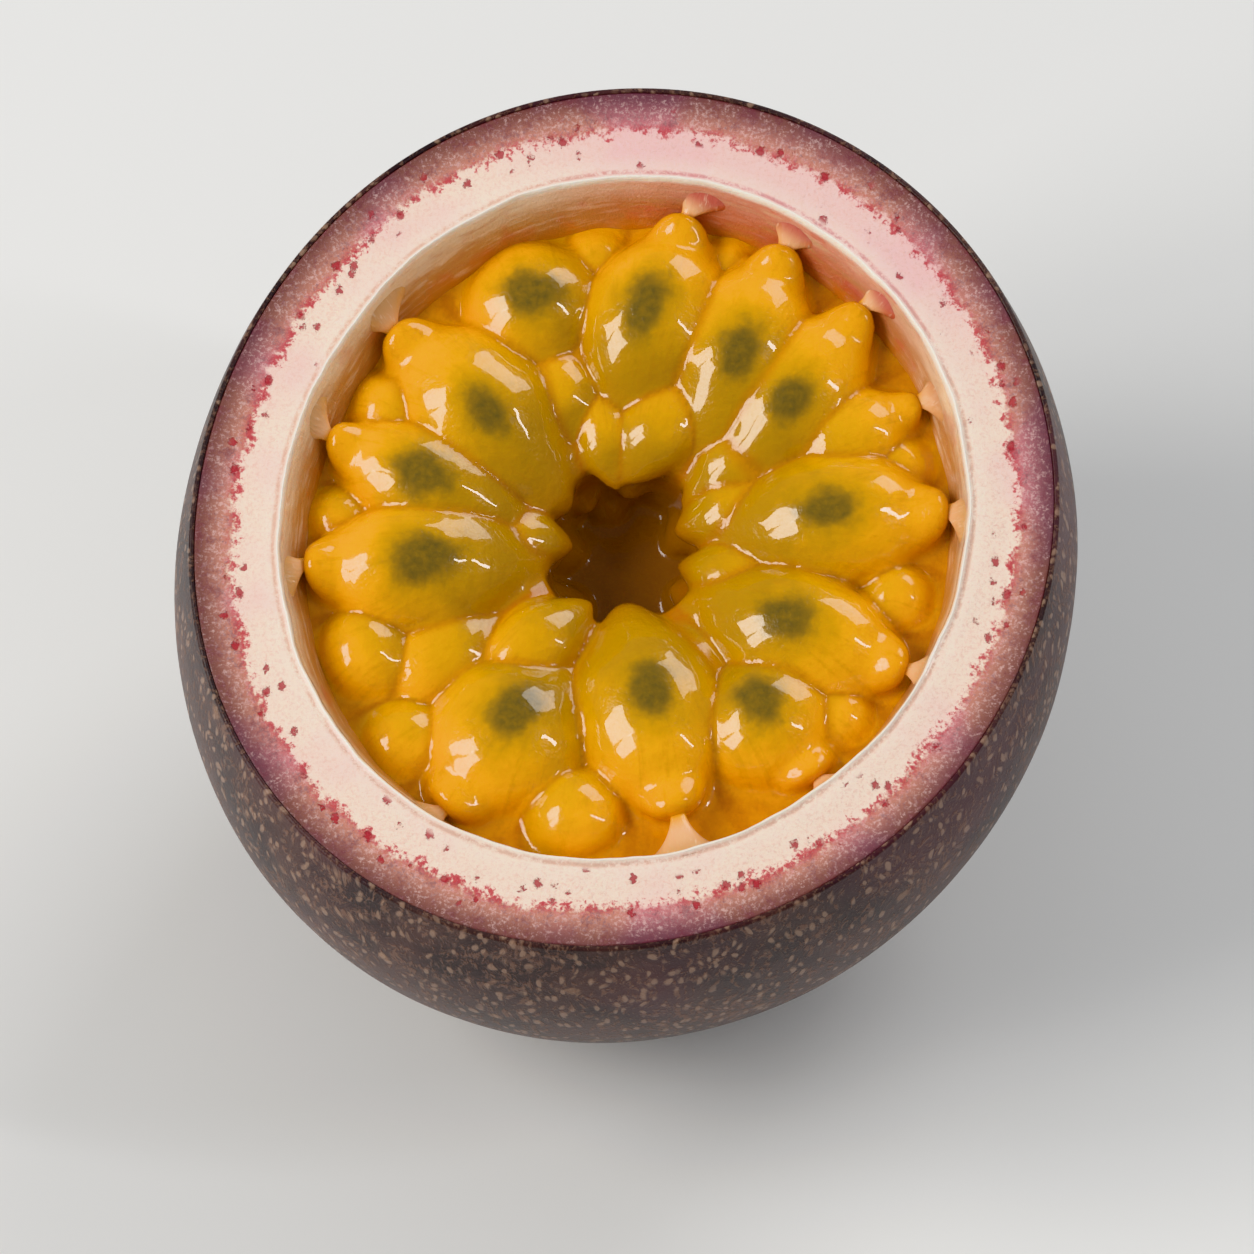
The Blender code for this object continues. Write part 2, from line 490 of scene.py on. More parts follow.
def pithRows():
    # Rows from the lower pole up inside the skin, across the cut and down into the hollow.
    # Each row also has its place across the cut, from 0 inside to 1 outside, and its share down the wall.
    cut, inset = fruit["cutHeight"], pith["inset"]
    face = cut - pith["cutSink"]
    sweep = heightAngle(cut - 0.25 * mm, inset) + math.pi / 2
    rows = []
    for step in range(pith["outsideRows"] + 1):
        angle = -math.pi / 2 + sweep * step / pith["outsideRows"]
        rows.append((*bodyRow(angle, inset), 1.0, 0.0))
    rows[0] = (0, *rows[0][1:])
    outer = rows[-1][0]
    cutRadius = bodyRow(heightAngle(cut))[0]
    inner = cutRadius - fruit["rindThickness"]
    lip = pith["lipRadius"]
    span = outer - (inner + lip)
    for step in range(1, pith["faceRows"] + 1):
        radius = outer - span * step / pith["faceRows"]
        rows.append((radius, face, (radius - inner) / (cutRadius - inner), 0.0))
    for step in range(1, pith["lipRows"] + 1):
        angle = math.pi / 2 * step / pith["lipRows"]
        radius = inner + lip - lip * math.sin(angle)
        height = face - lip * (1 - math.cos(angle))
        rows.append((radius, height, (radius - inner) / (cutRadius - inner), 0.0))
    for step in range(1, pith["wallRows"] + 1):
        down = (pith["wallDepth"] - lip) * step / pith["wallRows"]
        rows.append((inner, face - lip - down, 0.0, down / pith["wallDepth"]))
    foot = rows[-1]
    for step in range(1, pith["hollowRows"] + 1):
        angle = math.pi / 2 * step / pith["hollowRows"]
        height = foot[1] - pith["hollowDepth"] * math.sin(angle)
        rows.append((foot[0] * math.cos(angle), height, 0.0, 1.0))
    rows[-1] = (0, *rows[-1][1:])
    return rows


def pithFinish():
    constants = {"Coat Roughness": 0.12, "Specular IOR Level": 0.5, "Subsurface Weight": 0.15,
                 "Subsurface Scale": 0.0007, "Subsurface Radius": (1.0, 0.6, 0.45)}
    finish, bench, shader = newFinish("pith", constants)
    place = fruitPlace(bench)
    across = readValues(bench, "across")
    down = readValues(bench, "down")
    stipple = bench.cloud(place, 0.19, 3.0, 0.8)
    dots = bench.cloud(place, 0.28, 3.0, 0.7)
    ragged = bench.cloud(spokePlace(bench, place, 1.4), 0.95, 4.0, 0.68)
    broad = bench.cloud(place, 7.5, 2.0)
    bite = bench.cloud(place, 2.6, 2.0)
    redSide = redSideReach(bench, place).rise(15.0, 23.0)
    # cream pith, pinker on one side and in patches
    pinkness = (redSide * 0.8 + broad.rise(0.46, 0.68) * 0.6).least(1.0)
    colour = bench.mix(pinkness, tint(252, 228, 208), tint(246, 202, 198))
    colour = bench.mix((stipple * 0.6 + dots * 0.4).rise(0.47, 0.62) * 0.55, colour, tint(232, 184, 168))
    colour = bench.mix(across.rise(0.32, 0.1) * 0.35, colour, tint(255, 238, 220))
    # the red band next to the skin: dark at the skin, finely stippled, with a ragged redder border
    edge = across + (ragged - 0.5) * 0.34 + (dots - 0.5) * 0.2 + (bite - 0.5) * 0.2
    band = edge.rise(0.5, 0.59)
    bandColour = bench.mix(across.rise(0.52, 0.95), tint(206, 124, 130), tint(104, 52, 68))
    warm = bench.mix(across.rise(0.54, 0.95), tint(206, 136, 116), tint(118, 64, 58))
    bandColour = bench.mix(broad.rise(0.62, 0.46), bandColour, warm)
    pale = (stipple * 0.6 + dots * 0.4 - across.rise(0.6, 1.0) * 0.06).rise(0.46, 0.58)
    bandColour = bench.mix(pale * 0.55, bandColour, tint(238, 204, 198))
    dark = (stipple * 0.5 + ragged * 0.5 + across * 0.06).rise(0.54, 0.64)
    bandColour = bench.mix(dark * 0.6, bandColour, tint(112, 34, 56))
    colour = bench.mix(band * 0.96, colour, bandColour)
    border = edge.rise(0.47, 0.53) * edge.rise(0.7, 0.57)
    redder = (ragged * 0.5 + dots * 0.5).rise(0.45, 0.58)
    colour = bench.mix(border * redder * 0.85, colour, tint(198, 54, 68))
    colour = bench.mix((across + (dots - 0.5) * 0.08).rise(0.92, 0.985), colour, tint(62, 28, 38))
    # red flecks in the pith, a few of them near the lip
    squashed = bench.vectorMaths("MULTIPLY", place, (1.0, 0.8, 1.0))
    fleckShape = bench.cells(squashed, 0.95, "Distance") + (dots - 0.5) * 0.8
    fleckPick = bench.node("ShaderNodeSeparateColor", {}, {0: bench.cells(squashed, 0.95, "Color")})
    zone = across.rise(0.15, 0.5) * 0.24
    strewn = fleckShape.rise(0.31, 0.19) * (fleckPick + zone).rise(0.83, 0.86)
    flecks = strewn * across.rise(0.08, 0.16) * across.rise(0.84, 0.66)
    colour = bench.mix(flecks * 0.88, colour, tint(176, 40, 54))
    # the lip: a painted highlight along it, and painted shade on the line in the groove behind it
    grooveShade = across.rise(0.045, 0.07) * across.rise(0.12, 0.085) * (dots * 0.6 + bite * 0.4).rise(0.36, 0.56)
    colour = bench.mix(grooveShade * 0.6, colour, bench.mix(redSide, tint(214, 160, 132), tint(204, 96, 106)))
    colour = bench.mix(across.rise(0.05, 0.025) * down.rise(0.03, 0.0), colour, tint(255, 246, 232))
    # the wall of the hollow: pale under the lip, then tan, then stained by the juice, and redder on one side
    lines = bench.cloud(bench.vectorMaths("MULTIPLY", place, (0.2, 0.2, 1.5)), 0.5, 3.0, 0.6)
    wall = bench.mix(down.rise(0.0, 0.3), tint(246, 220, 188), tint(206, 152, 102))
    wall = bench.mix(lines.rise(0.5, 0.66) * 0.45, wall, tint(250, 222, 190))
    wall = bench.mix((1 - lines).rise(0.52, 0.68) * 0.4, wall, tint(198, 124, 84))
    stain = (bite.rise(0.54, 0.7) * 0.5 + redSide * 0.9).least(1.0) * lines.rise(0.25, 0.55)
    wall = bench.mix(stain * 0.8, wall, tint(212, 104, 92))
    wall = bench.mix((down + (bite - 0.5) * 0.3).rise(0.34, 0.6), wall, tint(206, 128, 14))
    colour = bench.mix(down.rise(0.0, 0.04), colour, wall)
    height = stipple * 0.6 + dots * 0.7 + ragged * 0.5 - flecks * 0.6 + lines * down.rise(0.0, 0.1) * 0.7
    wet = down.rise(0.0, 0.06)
    lip = across.rise(0.08, 0.02) * down.rise(0.1, 0.0)
    roughness = 0.46 - wet * 0.2 - lip * 0.22 + stipple * 0.1
    coat = 0.12 + wet * 0.55 + lip * 0.8
    feed(bench, shader, colour=colour, roughness=roughness, coat=coat, normal=bench.bump(height, 0.08))
    return finish


def makePith():
    rows = pithRows()
    points, faces, rowOf = turnedParts(rows, pith["steps"])
    across = np.array([row[2] for row in rows])[rowOf]
    down = np.array([row[3] for row in rows])[rowOf]
    # The wall leans in, most on one side of the fruit.
    bearing = np.arctan2(points[:, 1], points[:, 0])
    lean = pith["wallLean"] + pith["wallLeanMore"] * np.cos(bearing - pith["wallLeanTurn"])
    reach = np.hypot(points[:, 0], points[:, 1])
    narrower = 1 - np.tan(lean) * down * pith["wallDepth"] / np.maximum(reach, 10 * mm)
    points[:, :2] *= narrower[:, None]
    # A shallow relief on the cut, and a low lip along its inner edge.
    onFace = smoothStep(across, 0.0, 0.08) * smoothStep(1 - across, 0.02, 0.12) * (down == 0)
    soft = unevenness(points, 2.2 * mm, 3) * 0.07 * mm + unevenness(points, 0.7 * mm, 4) * 0.035 * mm
    lip = np.exp(-((across - 0.028) / 0.014) ** 2) * (down == 0) * pith["lipRise"]
    lip -= np.exp(-((across - 0.08) / 0.018) ** 2) * (down == 0) * pith["lipRise"] * 0.6
    dip = -0.22 * mm * np.sin(np.clip(across, 0, 1) * math.pi) ** 2 * (down == 0)
    points[:, 2] += (soft - 0.06 * mm + dip) * onFace + lip
    waves = unevenness(points, 3.5 * mm, 5) * 0.16 * mm + unevenness(points, 1.1 * mm, 6) * 0.05 * mm
    inward = points[:, :2] / np.maximum(reach, 1 * mm)[:, None]
    points[:, :2] -= inward * (waves * smoothStep(0.25 - across, 0.0, 0.25))[:, None]
    mesh = meshOf("pith", settled(grown(points), pith["inset"]), faces)
    keepValues(mesh, "across", across)
    keepValues(mesh, "down", down)
    claim(addPiece("pith", mesh, pithFinish()))
    print("pith made")


# The pulp: juice sacs in a bed of juice.

pulp = {
    "topGap": 0.75 * mm,
    "heightShare": 0.9,
    "plumpness": 1.07,
    "tipDip": math.radians(8),
    "tipTaper": 0.46,
    "taperPower": 1.6,
    "blunt": 0.07,
    "neckStart": 0.84,
    "neckLength": 0.18,
    "neckLift": 0.36,
    "wallGap": 0.35 * mm,
    "bedDrop": 3.8 * mm,
    "bedRadius": 21.3 * mm,
    "pitMouth": 5.2 * mm,
    "pitFloor": 4.4 * mm,
    "pitDrop": 10.5 * mm,
    "seedSize": (4.4 * mm, 3.1 * mm),
    "seedlessWidth": 6.4,
    "necklessLength": 9.2,
    "neckMostTwist": 40,
    "neckMostDrop": 1.2,
    "heldOffLength": 9,
    "grain": 0.25 * mm,
    "smoothing": 5,
}

# Each sac: bearing from +X and distance from the middle, how far it is turned off the spoke, length, width,
# and how much lower it lies than the highest ones. Degrees and mm.
sacs = [
    (85, 14.2, -10, 13.8, 8.2, 0.0),
    (62, 14.6, 9, 14.6, 7.8, 0.1),
    (44, 14.8, 12, 14.6, 7.0, 0.3),
    (27, 15.0, 3, 10.4, 5.6, 1.0),
    (7, 12.8, -3, 15.6, 8.4, 0.0),
    (332, 12.6, 9, 15.8, 8.2, 0.2),
    (309, 15.0, 0, 11.0, 9.2, 0.4),
    (281, 11.2, 5, 15.4, 8.8, 0.0),
    (263, 17.6, 70, 7.6, 5.6, 1.2),
    (244, 14.0, -8, 13.2, 9.4, 0.3),
    (234, 8.2, -12, 8.6, 4.4, 1.7),
    (208, 17.2, 24, 7.6, 6.3, 1.4),
    (227, 18.0, 40, 7.0, 5.8, 1.9),
    (217, 12.6, 0, 11.0, 6.0, 2.0),
    (191, 12.6, -4, 16.0, 8.4, 0.1),
    (167, 12.8, -8, 14.8, 7.2, 0.4),
    (141, 12.2, -4, 16.0, 9.2, 0.0),
    (113, 15.8, 60, 11.2, 8.4, 0.6),
    (76, 7.3, -19, 8.0, 4.6, 1.7),
    (116, 10.0, -6, 8.0, 5.4, 1.9),
    (102, 6.8, 4, 6.8, 3.6, 2.5),
    (22, 7.4, 0, 8.4, 5.0, 2.5),
    (180, 6.8, 0, 7.4, 4.4, 2.9),
    (153, 17.2, 10, 6.8, 5.4, 1.5),
    (38, 9.0, 0, 9.6, 5.0, 2.0),
    (298, 9.6, 0, 10.0, 5.2, 2.2),
    (344, 7.6, 0, 8.0, 4.6, 2.5),
    (98, 18.0, 0, 5.0, 4.4, 2.2),
    (73, 18.2, 0, 4.4, 3.8, 2.2),
    (321, 17.8, 30, 6.4, 4.8, 1.9),
    (17, 17.8, 0, 5.4, 4.8, 1.9),
    (349, 17.6, 0, 6.4, 4.8, 1.9),
    (178, 18.0, 60, 5.6, 4.4, 2.0),
    (256, 11.4, 0, 9.0, 5.0, 2.4),
]

# Layers under those, in mm: how many sacs, distance, length, width and drop.
lowerLayers = [
    (11, 12.3, 13.2, 7.6, 2.9),
    (7, 7.4, 7.6, 5.2, 5.0),
    (6, 6.0, 6.6, 4.6, 7.4),
]


def allSacs():
    # The sacs above, and the lower layers that show between them and round the pit.
    draw = random.Random(11)
    lower = []
    for count, distance, length, width, drop in lowerLayers:
        start = draw.uniform(0, 360)
        for number in range(count):
            bearing = start + 360 * number / count + draw.uniform(-8, 8)
            place = (bearing, distance * draw.uniform(0.95, 1.05), draw.uniform(-8, 8))
            lower.append((*place, length, width * draw.uniform(0.88, 1.08), drop + draw.uniform(-0.2, 0.2)))
    return sacs + lower


def wallRadius(bearing, height):
    # How far the wall of the hollow stands from the axis.
    inner = bodyRow(heightAngle(fruit["cutHeight"]))[0] - fruit["rindThickness"]
    lean = pith["wallLean"] + pith["wallLeanMore"] * math.cos(bearing - pith["wallLeanTurn"])
    return inner - math.tan(lean) * (fruit["cutHeight"] - height)


def outerTip(centre, turn, half):
    # Where the neck of a sac ends.
    tip = Vector((half.x * (1 + pulp["neckLength"]), 0, half.z * pulp["neckLift"]))
    tip.rotate(turn)
    return centre + tip


def sacPlaces():
    # Centre, turn and half sizes of each sac, and whether its seed and a neck show.
    # The length takes in the neck.
    draw = random.Random(5)
    places = []
    for number, (bearing, distance, twist, length, width, drop) in enumerate(allSacs()):
        height = width * pulp["heightShare"]
        direction = math.radians(bearing)
        heading = direction + math.radians(twist)
        centre = Vector((math.cos(direction), math.sin(direction), 0)) * distance * mm
        centre.z = fruit["cutHeight"] - pulp["topGap"] - (drop + height / 2) * mm
        turn = Euler((draw.uniform(-0.15, 0.15), -pulp["tipDip"], heading))
        half = Vector((length / (2 + pulp["neckLength"]), width * pulp["plumpness"] / 2, height / 2)) * mm
        centre -= Vector((math.cos(heading), math.sin(heading), 0)) * half.x * pulp["neckLength"] / 2
        # The neck ends short of the wall.
        tip = outerTip(centre, turn, half)
        over = math.hypot(tip.x, tip.y) - wallRadius(math.atan2(tip.y, tip.x), tip.z) + pulp["wallGap"]
        if over > 0 and length > pulp["heldOffLength"]:
            centre -= Vector((math.cos(heading), math.sin(heading), 0)) * over
        shows = number < len(sacs)
        straight = abs(twist) < pulp["neckMostTwist"] and drop < pulp["neckMostDrop"]
        necked = shows and length > pulp["necklessLength"] and straight
        places.append((centre, turn, half, shows and width > pulp["seedlessWidth"], necked))
    return places


def newTree(name, numbers):
    # A tree for loose points, with these numbers and a finish as its named inputs.
    tree = bpy.data.node_groups.new(name, "GeometryNodeTree")
    tree.is_modifier = True
    tree.interface.new_socket("Geometry", in_out="INPUT", socket_type="NodeSocketGeometry")
    for number in numbers:
        tree.interface.new_socket(number, in_out="INPUT", socket_type="NodeSocketFloat")
    tree.interface.new_socket("Finish", in_out="INPUT", socket_type="NodeSocketMaterial")
    tree.interface.new_socket("Geometry", in_out="OUTPUT", socket_type="NodeSocketGeometry")
    bench = Bench(tree)
    start = tree.nodes.new("NodeGroupInput")
    return bench, {socket.name: Wire(bench, socket) for socket in start.outputs}


def putOnPoints(bench, given, shape):
    # The shape at each point, turned and sized by the point's own values, made real and given its finish.
    values = {
        name: bench.node("GeometryNodeInputNamedAttribute", {"data_type": "FLOAT_VECTOR"}, {"Name": name})
        for name in ("turn", "size")
    }
    turn = bench.node("FunctionNodeEulerToRotation", {}, {0: values["turn"]})
    inputs = {"Points": given["Geometry"], "Instance": shape, "Rotation": turn, "Scale": values["size"]}
    placed = bench.node("GeometryNodeInstanceOnPoints", {}, inputs)
    real = bench.node("GeometryNodeRealizeInstances", {}, {0: placed})
    done = bench.node("GeometryNodeSetMaterial", {}, {"Geometry": real, "Material": given["Finish"]})
    end = bench.tree.nodes.new("NodeGroupOutput")
    bench.tree.links.new(done.socket, end.inputs[0])
    return bench.tree


def sacTree():
    # One sac at each point. Its size there is half its length, width and height.
    names = ("Tip Taper", "Blunt End", "Neck Start", "Neck Length", "Neck Lift")
    bench, given = newTree("sacsOnPoints", names)
    ball = bench.node("GeometryNodeMeshUVSphere", {}, {"Segments": 36, "Rings": 30, "Radius": 1.0})
    place = bench.node("GeometryNodeInputPosition")
    along = place.part("Z")
    # Slimmer towards the inner tip, blunt at the outer end and with a short neck there.
    taper = given["Tip Taper"] * ((0 - along).most(0.0) ** pulp["taperPower"])
    slim = 1 - taper + given["Blunt End"] * along.most(0.0)
    neck = along.rise(given["Neck Start"], 1.0)
    lifted = place.part("Y") * slim + neck * given["Neck Lift"]
    shaped = bench.vector(along + neck * given["Neck Length"], place.part("X") * slim, lifted)
    ball = bench.node("GeometryNodeSetPosition", {}, {"Geometry": ball, "Position": shaped})
    return putOnPoints(bench, given, ball)


def runTree(name, points, vectors, tree, values):
    # Runs a tree on loose points and gives back the plain mesh.
    mesh = bpy.data.meshes.new(name)
    mesh.from_pydata(points, [], [])
    for key, rows in vectors.items():
        layer = mesh.attributes.new(key, "FLOAT_VECTOR", "POINT")
        layer.data.foreach_set("vector", np.array(rows, dtype=np.float32).ravel())
    holder = bpy.data.objects.new(name, mesh)
    bpy.context.scene.collection.objects.link(holder)
    modifier = holder.modifiers.new(name, "NODES")
    modifier.node_group = tree
    for item in tree.interface.items_tree:
        if item.in_out == "INPUT" and item.name in values:
            modifier[item.identifier] = values[item.name]
    return plainMesh(holder, name)


def bedMesh():
    # The bed of juice, with the pit in the middle.
    cut = fruit["cutHeight"]
    top = cut - pulp["bedDrop"]
    rows = [
        (0, cut - 12.0 * mm),
        (7.0 * mm, cut - 12.0 * mm),
        (9.0 * mm, cut - 8.6 * mm),
        (19.0 * mm, cut - 7.6 * mm),
        (pulp["bedRadius"] - 0.9 * mm, top - 1.2 * mm),
        (pulp["bedRadius"], top + 0.2 * mm),
        (pulp["bedRadius"] - 1.5 * mm, top),
        (pulp["pitMouth"] + 1.2 * mm, top - 0.3 * mm),
        (pulp["pitMouth"], top - 1.0 * mm),
        (pulp["pitFloor"], cut - pulp["pitDrop"]),
        (0, cut - pulp["pitDrop"]),
    ]
    points, faces, _ = turnedParts(rows, 72)
    return meshOf("bed", points, faces)


def joined(meshes, name):
    whole = bmesh.new()
    for mesh in meshes:
        whole.from_mesh(mesh)
    out = bpy.data.meshes.new(name)
    whole.to_mesh(out)
    whole.free()
    return out


def sacValues(points, places):
    # For each point: how near its own sac and the next one are, where it lies along and above the middle of
    # its own, and how far that sac's seed is.
    farOff = 9.0
    nearest = np.full(len(points), farOff)
    second = np.full(len(points), farOff)
    along = np.zeros(len(points))
    above = np.zeros(len(points))
    seed = np.full(len(points), farOff)
    draw = random.Random(23)
    start, reach = pulp["neckStart"], pulp["neckLength"]
    for centre, turn, half, hasSeed, necked in places:
        local = (points - np.array(centre)) @ np.array(turn.to_matrix())
        local /= np.array(half)
        if necked:
            onNeck = np.maximum(local[:, 0] - start, 0) / (1 + reach - start)
            local[:, 0] = np.where(onNeck > 0, start + onNeck * (1 - start), local[:, 0])
            local[:, 2] -= np.clip(onNeck, 0, 1) * pulp["neckLift"]
        slim = 1 - pulp["tipTaper"] * np.maximum(-local[:, 0], 0) ** pulp["taperPower"]
        slim = np.maximum(slim, 0.3)
        far = np.sqrt(local[:, 0] ** 2 + (local[:, 1] ** 2 + local[:, 2] ** 2) / slim**2)
        # The seed lies a little off the sac's middle, and shows only through the sac's upper side.
        seedAt = (draw.uniform(0.0, 0.22), draw.uniform(-0.14, 0.14))
        seedLong, seedWide = (value * draw.uniform(0.85, 1.1) / 2 for value in pulp["seedSize"])
        seedAlong = (local[:, 0] - seedAt[0]) * half[0] / seedLong
        seedAcross = (local[:, 1] - seedAt[1]) * half[1] / seedWide
        seedFar = np.hypot(seedAlong, seedAcross)
        seedFar += draw.uniform(0.0, 0.2) + 3.0 * (local[:, 2] < -0.1) + (0.0 if hasSeed else farOff)
        closer = far < nearest
        second = np.where(closer, nearest, np.minimum(second, far))
        nearest = np.where(closer, far, nearest)
        along = np.where(closer, local[:, 0], along)
        above = np.where(closer, local[:, 2], above)
        seed = np.where(closer, seedFar, seed)
    return nearest, second, along, above, seed


def pulpFinish():
    constants = {"Coat Roughness": 0.035, "Coat IOR": 1.52, "Specular IOR Level": 0.2,
                 "Subsurface Weight": 0.16, "Subsurface Scale": 0.0012, "Subsurface Radius": (0.8, 0.6, 0.1)}
    finish, bench, shader = newFinish("pulp", constants)
    place = fruitPlace(bench)
    ripe = readValues(bench, "ripe")
    seedFar = readValues(bench, "seedFar")
    creaseShade = readValues(bench, "creaseShade")
    depthShade = readValues(bench, "depthShade")
    cloud = bench.cloud(place, 1.6, 3.0, 0.6)
    fine = bench.cloud(place, 0.45, 2.0, 0.6)
    fibres = bench.cloud(spokePlace(bench, place, 3.0), 0.8, 3.0, 0.6)
    ripeness = ripe + (cloud - 0.5) * 0.4
    colour = bench.mix(ripeness.rise(0.05, 0.5), tint(190, 140, 0), tint(226, 164, 0))
    colour = bench.mix(ripeness.rise(0.48, 0.9), colour, tint(255, 180, 0))
    colour = bench.mix((fibres + (fine - 0.5) * 0.4).rise(0.5, 0.75) * 0.35, colour, tint(196, 136, 0))
    # painted shade: darker amber in the creases between sacs and down their lower sides
    colour = bench.mix(creaseShade * (0.75 + (fine - 0.5) * 0.4), colour, tint(186, 104, 0))
    # painted shade: darker lower down and towards the pit
    colour = bench.mix(depthShade.rise(0.1, 0.6), colour, tint(158, 92, 0))
    colour = bench.mix(depthShade.rise(0.6, 1.0), colour, tint(150, 92, 4))
    # the dark seed, blurred by the flesh over it
    blurred = seedFar + (cloud - 0.5) * 0.9 + (fine - 0.5) * 0.4
    colour = bench.mix(blurred.rise(2.1, 1.0) * 0.5, colour, tint(172, 130, 4))
    colour = bench.mix(blurred.rise(1.35, 0.6) * (0.76 + (fine - 0.5) * 0.5), colour, tint(90, 82, 44))
    height = fine * 0.8 + cloud
    normal = bench.bump(height, 0.075)
    feed(bench, shader, colour=colour, roughness=0.16 + fine * 0.1, coat=1 - creaseShade * 0.35, normal=normal)
    return finish


def makePulp():
    finish = pulpFinish()
    places = sacPlaces()
    tree = sacTree()
    parts = [bedMesh()]
    for necked in (True, False):
        these = [place for place in places if place[4] == necked]
        centres, turns, halves = ([tuple(place[part]) for place in these] for part in range(3))
        values = {
            "Tip Taper": pulp["tipTaper"],
            "Blunt End": pulp["blunt"],
            "Neck Start": pulp["neckStart"],
            "Neck Length": pulp["neckLength"] * necked,
            "Neck Lift": pulp["neckLift"] * necked,
            "Finish": finish,
        }
        parts.append(runTree("sacs", centres, {"turn": turns, "size": halves}, tree, values))
        print("sacs placed:", len(these))
    lump = addPiece("pulpLump", joined(parts, "pulpLump"))
    remesh = lump.modifiers.new("oneSkin", "REMESH")
    remesh.mode = "VOXEL"
    remesh.voxel_size = pulp["grain"]
    smooth = lump.modifiers.new("wetCreases", "SMOOTH")
    smooth.factor = 0.5
    smooth.iterations = pulp["smoothing"]
    mesh = plainMesh(lump, "pulp")
    points = pointsOf(mesh)
    nearest, second, along, above, seed = sacValues(points, places)
    distance = np.hypot(points[:, 0], points[:, 1])
    under = fruit["cutHeight"] - points[:, 2]
    # painted shade in the creases between sacs and on the sacs' lower sides
    creaseShade = smoothStep(nearest, 1.0, 1.16) * 0.8 + smoothStep(-(second - nearest), -0.16, -0.02) * 0.6
    creaseShade = np.maximum(creaseShade, smoothStep(-above, -0.75, 0.05) * 0.6)
    # painted shade, darker lower down and most in the pit
    depthShade = smoothStep(under, 3.4 * mm, 8.6 * mm) * smoothStep(-distance, -9 * mm, -4 * mm)
    depthShade = np.maximum(depthShade, smoothStep(under, 3.6 * mm, 5.4 * mm) * 0.35)
    ripe = 0.27 + 0.45 * along + smoothStep(distance, 10 * mm, 19 * mm) * 0.3
    keepValues(mesh, "ripe", ripe)
    keepValues(mesh, "seedFar", np.minimum(seed, 4.0))
    keepValues(mesh, "creaseShade", np.clip(creaseShade, 0, 1))
    keepValues(mesh, "depthShade", depthShade)
    lumps = unevenness(points, 3.2 * mm, 7) * 0.16 * mm + unevenness(points, 1.1 * mm, 8) * 0.03 * mm
    points = points + normalsOf(mesh) * lumps[:, None]
    setPoints(mesh, settled(grown(points)))
    claim(addPiece("pulp", mesh, finish))
    print("pulp made:", len(mesh.polygons), "faces")


# The stalks: each large sac hangs on a pale point that is drawn out of the wall.

stalks = {
    "halfWidth": 2.9 * mm,
    "halfHeight": 1.35 * mm,
    "rooted": 0.45 * mm,
    "hug": 2.4,
    "higher": 0.5 * mm,
    "tip": 0.13,
    "flare": 2.3,
    "nearest": 17.0 * mm,
    "belowCut": 1.2 * mm,
    "intoSac": 0.5 * mm,
}


def stalkTree():
    # A flared stalk at each point, from its root in the wall to its tip on the sac.
    bench, given = newTree("stalksOnPoints", ("Tip", "Flare"))
    sizes = {"Vertices": 28, "Side Segments": 20, "Fill Segments": 1, "Radius": 1.0, "Depth": 1.0}
    post = bench.node("GeometryNodeMeshCylinder", {}, sizes)
    place = bench.node("GeometryNodeInputPosition")
    along = place.part("Z") + 0.5
    girth = given["Tip"] + (1 - given["Tip"]) * ((1 - along).most(0.0) ** given["Flare"])
    shaped = bench.vector(place.part("X") * girth, place.part("Y") * girth, along)
    inputs = {"Geometry": post, "Name": "reach", "Value": along}
    post = bench.node("GeometryNodeStoreNamedAttribute", {"data_type": "FLOAT", "domain": "POINT"}, inputs)
    post = bench.node("GeometryNodeSetPosition", {}, {"Geometry": post, "Position": shaped})
    return putOnPoints(bench, given, post)


def stalkFinish():
    constants = {"Coat Roughness": 0.08, "Coat Weight": 0.7, "Subsurface Weight": 0.2,
                 "Subsurface Scale": 0.0008, "Subsurface Radius": (1.0, 0.55, 0.4)}
    finish, bench, shader = newFinish("stalk", constants)
    place = fruitPlace(bench)
    reach = readValues(bench, "reach")
    streaks = bench.cloud(spokePlace(bench, place, 5.0), 0.3, 3.0, 0.6)
    redSide = redSideReach(bench, place).rise(13.0, 20.0)
    root = bench.mix(redSide, tint(220, 168, 116), tint(206, 106, 88))
    colour = bench.mix(reach.rise(0.15, 0.6), root, tint(244, 190, 140))
    colour = bench.mix(reach.rise(0.55, 0.9), colour, tint(248, 172, 20))
    colour = bench.mix(streaks.rise(0.56, 0.72) * 0.5, colour, tint(255, 224, 192))
    feed(bench, shader, colour=colour, roughness=0.3 + streaks * 0.1, normal=bench.bump(streaks, 0.08))
    return finish


